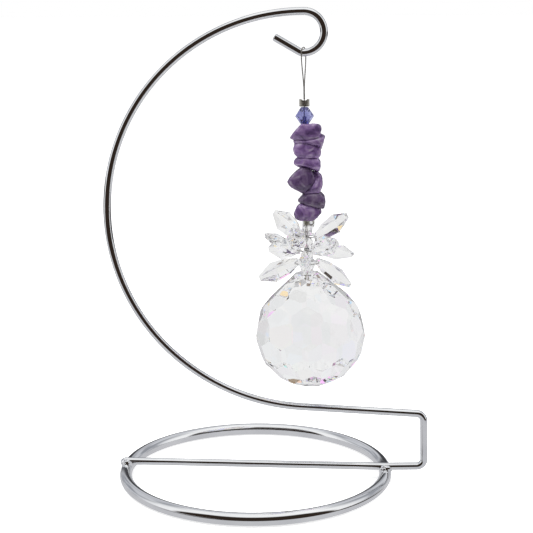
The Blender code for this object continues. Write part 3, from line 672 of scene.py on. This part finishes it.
pewter, pewter_shader = principled("crimp_pewter", metallic=1.0)
grain = noise_field(pewter.node_tree, 1800.0, 5.0)
tone = color_ramp(pewter.node_tree, grain, (0.3, (0.24, 0.22, 0.17)), (0.50, (0.62, 0.60, 0.52)),
                  (0.75, (0.94, 0.92, 0.86)))
link_nodes(pewter.node_tree, (tone, pewter_shader.inputs["Base Color"]),
           (rescale(pewter.node_tree, grain, 0.35, 0.6), pewter_shader.inputs["Roughness"]))
bump(pewter.node_tree, pewter_shader, grain, 0.00006)
CRIMP_EDGE = 0.00026
CRIMP_SOFTENING = 4
CRIMP_SHARP = math.radians(50)
for node, name in (("top_crimp", "pressed_crimp"), ("lower_crimp", "crimp_and_eye")):
    bm = node_copy(node, 3.0)
    sharp = [edge for edge in bm.edges if edge.is_manifold and edge.calc_face_angle() > CRIMP_SHARP]
    bmesh.ops.bevel(bm, geom=sharp, offset=CRIMP_EDGE, segments=3, affect="EDGES", clamp_overlap=True)
    if node == "top_crimp":
        bmesh.ops.subdivide_edges(bm, edges=bm.edges[:], cuts=1, use_grid_fill=True)
        for _ in range(CRIMP_SOFTENING):
            bmesh.ops.smooth_vert(bm, verts=bm.verts[:], factor=0.5, use_axis_x=True, use_axis_y=True,
                                  use_axis_z=True)
    crimp = stand_for(name, bm, node, pewter, smooth=True)
    crimp.data.set_sharp_from_angle(angle=CRIMP_SHARP)


# The bicone bead: violet-blue cut glass, a double cone of flat facets, with painted light and shade:
# some facets are painted light and some painted dark.
def bevel_facets(bm, width):
    """A hairline polish on every facet edge, as wheel-cut glass has."""
    edges = [edge for edge in bm.edges if edge.is_manifold and edge.calc_face_angle() > math.radians(4)]
    bmesh.ops.bevel(bm, geom=edges, offset=width, segments=1, affect="EDGES", clamp_overlap=True)


def facet_glass(name, body_color, cloud_low, ior):
    """Clear cut glass with a trace of cloud inside, whose facets carry painted light and shade and
    painted flashes of spectrum colour.
    """
    material, shader = principled(name, roughness=0.0, transmission=1.0, ior=ior)
    tree = material.node_tree
    facet = tree.nodes.new("ShaderNodeAttribute")
    facet.attribute_name = "painted_facet_light"
    cloud = color_ramp(tree, noise_field(tree, 160.0, 3.0), (0.3, cloud_low), (0.7, body_color))
    # The painted facet light and shade is multiplied into the glass's cloudy body colour
    cloud_and_painted_light = tree.nodes.new("ShaderNodeMix")
    cloud_and_painted_light.data_type = "RGBA"
    cloud_and_painted_light.blend_type = "MULTIPLY"
    cloud_and_painted_light.inputs["Factor"].default_value = 1.0
    link_nodes(tree, (facet.outputs["Color"], cloud_and_painted_light.inputs[6]), (cloud, cloud_and_painted_light.inputs[7]),
               (cloud_and_painted_light.outputs[2], shader.inputs["Base Color"]))
    return material


def paint_facet_light(mesh, seed, palette):
    """Paint every facet one colour of the palette, drawn by its weight: painted light, shade and flashes
    of spectrum colour on the facets.
    """
    draw = random.Random(seed)
    colors = [color for weight, color in palette]
    weights = [weight for weight, color in palette]
    layer = mesh.attributes.new("painted_facet_light", "FLOAT_COLOR", "FACE")
    for item in layer.data:
        item.color = (*draw.choices(colors, weights)[0], 1.0)


FACET_POLISH = 0.00004
# Each row: how often, and the colour painted on a facet as its light or its shade
TANZANITE_PAINTED_LIGHT = ((3, (1.0, 1.0, 1.0)), (3, (0.62, 0.62, 0.80)), (3, (0.30, 0.30, 0.50)))
tanzanite = facet_glass("tanzanite_glass", (0.56, 0.59, 0.86), (0.42, 0.43, 0.76), 1.56)
bm = node_copy("bicone_bead")
bevel_facets(bm, FACET_POLISH)
bicone = stand_for("cut_bicone", bm, "bicone_bead", tanzanite)
paint_facet_light(bicone.data, 3, TANZANITE_PAINTED_LIGHT)

# The amethyst chips: broken pieces of amethyst tumbled until their edges are round and glossy,
# drilled and threaded. Each has its own depth of violet, pale veins and paler thin edges.
amethyst, amethyst_shader = principled("tumbled_amethyst", roughness=0.22, transmission=0.35, ior=1.54,
                                       coat=0.35)
tree = amethyst.node_tree
amethyst_shader.inputs["Coat Roughness"].default_value = 0.1
banding = noise_field(tree, 260.0, 5.0, 1.2)
violet = color_ramp(tree, banding, (0.30, (0.120, 0.064, 0.190)), (0.46, (0.265, 0.145, 0.390)),
                    (0.58, (0.410, 0.260, 0.530)), (0.72, (0.62, 0.50, 0.72)))
depth = tree.nodes.new("ShaderNodeAttribute")
depth.attribute_name = "chip_depth"
shade = tree.nodes.new("ShaderNodeMix")
shade.data_type = "RGBA"
shade.blend_type = "MULTIPLY"
shade.inputs[7].default_value = (0.50, 0.57, 0.46, 1.0)
link_nodes(tree, (depth.outputs["Fac"], shade.inputs["Factor"]), (violet, shade.inputs[6]),
           (shade.outputs[2], amethyst_shader.inputs["Base Color"]))
bump(tree, amethyst_shader, noise_field(tree, 500.0, 6.0, 0.6), 0.00008)
CHIP_VOXEL = 0.00022
CHIP_TUMBLING = 9
CHIP_SWELL = 0.00028
CHIP_LUMPS = 0.00022
CHIP_PITS = 0.00004
CHIP_SHADES = (0.25, 0.35, 0.15, 0.2, 0.75, 0.3, 0.95, 0.2)
for number, chip_shade in enumerate(CHIP_SHADES, 1):
    node = f"amethyst_chip_{number}"
    bm = node_copy(node)
    mesh = bpy.data.meshes.new(node)
    bm.to_mesh(mesh)
    bm.free()
    blank = add_piece(f"{node}_blank", mesh)
    remesh = blank.modifiers.new("even", "REMESH")
    remesh.mode = "VOXEL"
    remesh.voxel_size = CHIP_VOXEL
    tumble = blank.modifiers.new("tumble", "SMOOTH")
    tumble.iterations = CHIP_TUMBLING
    tumble.factor = 0.5
    evaluated = blank.evaluated_get(bpy.context.evaluated_depsgraph_get())
    tumbled = bpy.data.meshes.new_from_object(evaluated)
    bpy.data.objects.remove(blank, do_unlink=True)
    bm = bmesh.new()
    bm.from_mesh(tumbled)
    bm.normal_update()
    for vert, push in [(v, v.normal.copy()) for v in bm.verts]:
        lump = noise.noise(vert.co * 420.0 + Vector((number * 7.0, 0, 0)))
        pit = noise.noise(vert.co * 1500.0 + Vector((0, number * 5.0, 0)))
        vert.co += push * (CHIP_SWELL + CHIP_LUMPS * lump + CHIP_PITS * pit)
    chip = stand_for(f"tumbled_chip_{number}", bm, node, amethyst, smooth=True)
    layer = chip.data.attributes.new("chip_depth", "FLOAT", "POINT")
    layer.data.foreach_set("value", [chip_shade] * len(chip.data.vertices))

# The clear beads and the petals: machine-cut lead crystal. The beads space the tiers apart, and
# each petal is threaded by a hole near its root on its tier's wire ring.
# Each row: how often, and the colour painted on a facet; the faint tints are painted flashes of spectrum
# colour
CRYSTAL_PAINTED_FLASHES = ((40, (1.0, 1.0, 1.0)), (10, (0.985, 0.988, 0.99)), (2, (0.96, 0.98, 1.0)),
                 (1, (1.0, 0.98, 0.93)), (1, (0.99, 0.965, 0.995)))
crystal = facet_glass("cut_crystal", (1.0, 1.0, 1.0), (0.965, 0.97, 0.975), 1.54)
petal_nodes = [f"{tier}_petal_{i}" for tier in ("top", "middle", "bottom") for i in (1, 2, 3, 4)]
for seed, node in enumerate([f"clear_bead_{i}" for i in (1, 2, 3, 4)] + petal_nodes):
    bm = node_copy(node)
    bevel_facets(bm, FACET_POLISH)
    cut = stand_for(f"cut_{node}", bm, node, crystal)
    paint_facet_light(cut.data, 20 + seed, CRYSTAL_PAINTED_FLASHES)

# The tier rings: thin steel wire bent to a ring on a spoke. The spoke is threaded on the cable,
# and the ring carries the four petals of its tier.
tier_steel, tier_shader = principled("tier_steel", metallic=1.0, roughness=0.2)
tone = color_ramp(tier_steel.node_tree, noise_field(tier_steel.node_tree, 900.0),
                  (0.3, (0.55, 0.55, 0.54)), (0.7, (0.85, 0.85, 0.84)))
tier_steel.node_tree.links.new(tone, tier_shader.inputs["Base Color"])
for tier in ("top", "middle", "bottom"):
    bm = node_copy(f"{tier}_ring")
    piece = stand_for(f"{tier}_wire_ring", bm, f"{tier}_ring", tier_steel, smooth=True)
    piece.data.set_sharp_from_angle(angle=math.radians(65))

# The ball: a solid crystal ball, its top drawn up to a flat and cut all over in rows of facets.
# The cable is glued into a blind hole in the flat; the clear glue fills the hole, so it is not seen.
ball_crystal = facet_glass("ball_crystal", (1.0, 1.0, 1.0), (0.97, 0.975, 0.98), 1.52)
BALL_POLISH = 0.00005
drilled = node_copy("crystal_ball")
bm = bmesh.new()
for vert in drilled.verts:
    bm.verts.new(vert.co)
drilled.free()
bmesh.ops.convex_hull(bm, input=bm.verts[:])
bmesh.ops.delete(bm, geom=[vert for vert in bm.verts if not vert.link_faces], context="VERTS")
bmesh.ops.dissolve_limit(bm, angle_limit=math.radians(1.0), verts=bm.verts[:], edges=bm.edges[:])
bmesh.ops.recalc_face_normals(bm, faces=bm.faces[:])
bevel_facets(bm, BALL_POLISH)
ball = stand_for("cut_ball", bm, "crystal_ball", ball_crystal)
# The ball's facets carry the same painted flashes of spectrum colour
paint_facet_light(ball.data, 7, CRYSTAL_PAINTED_FLASHES)
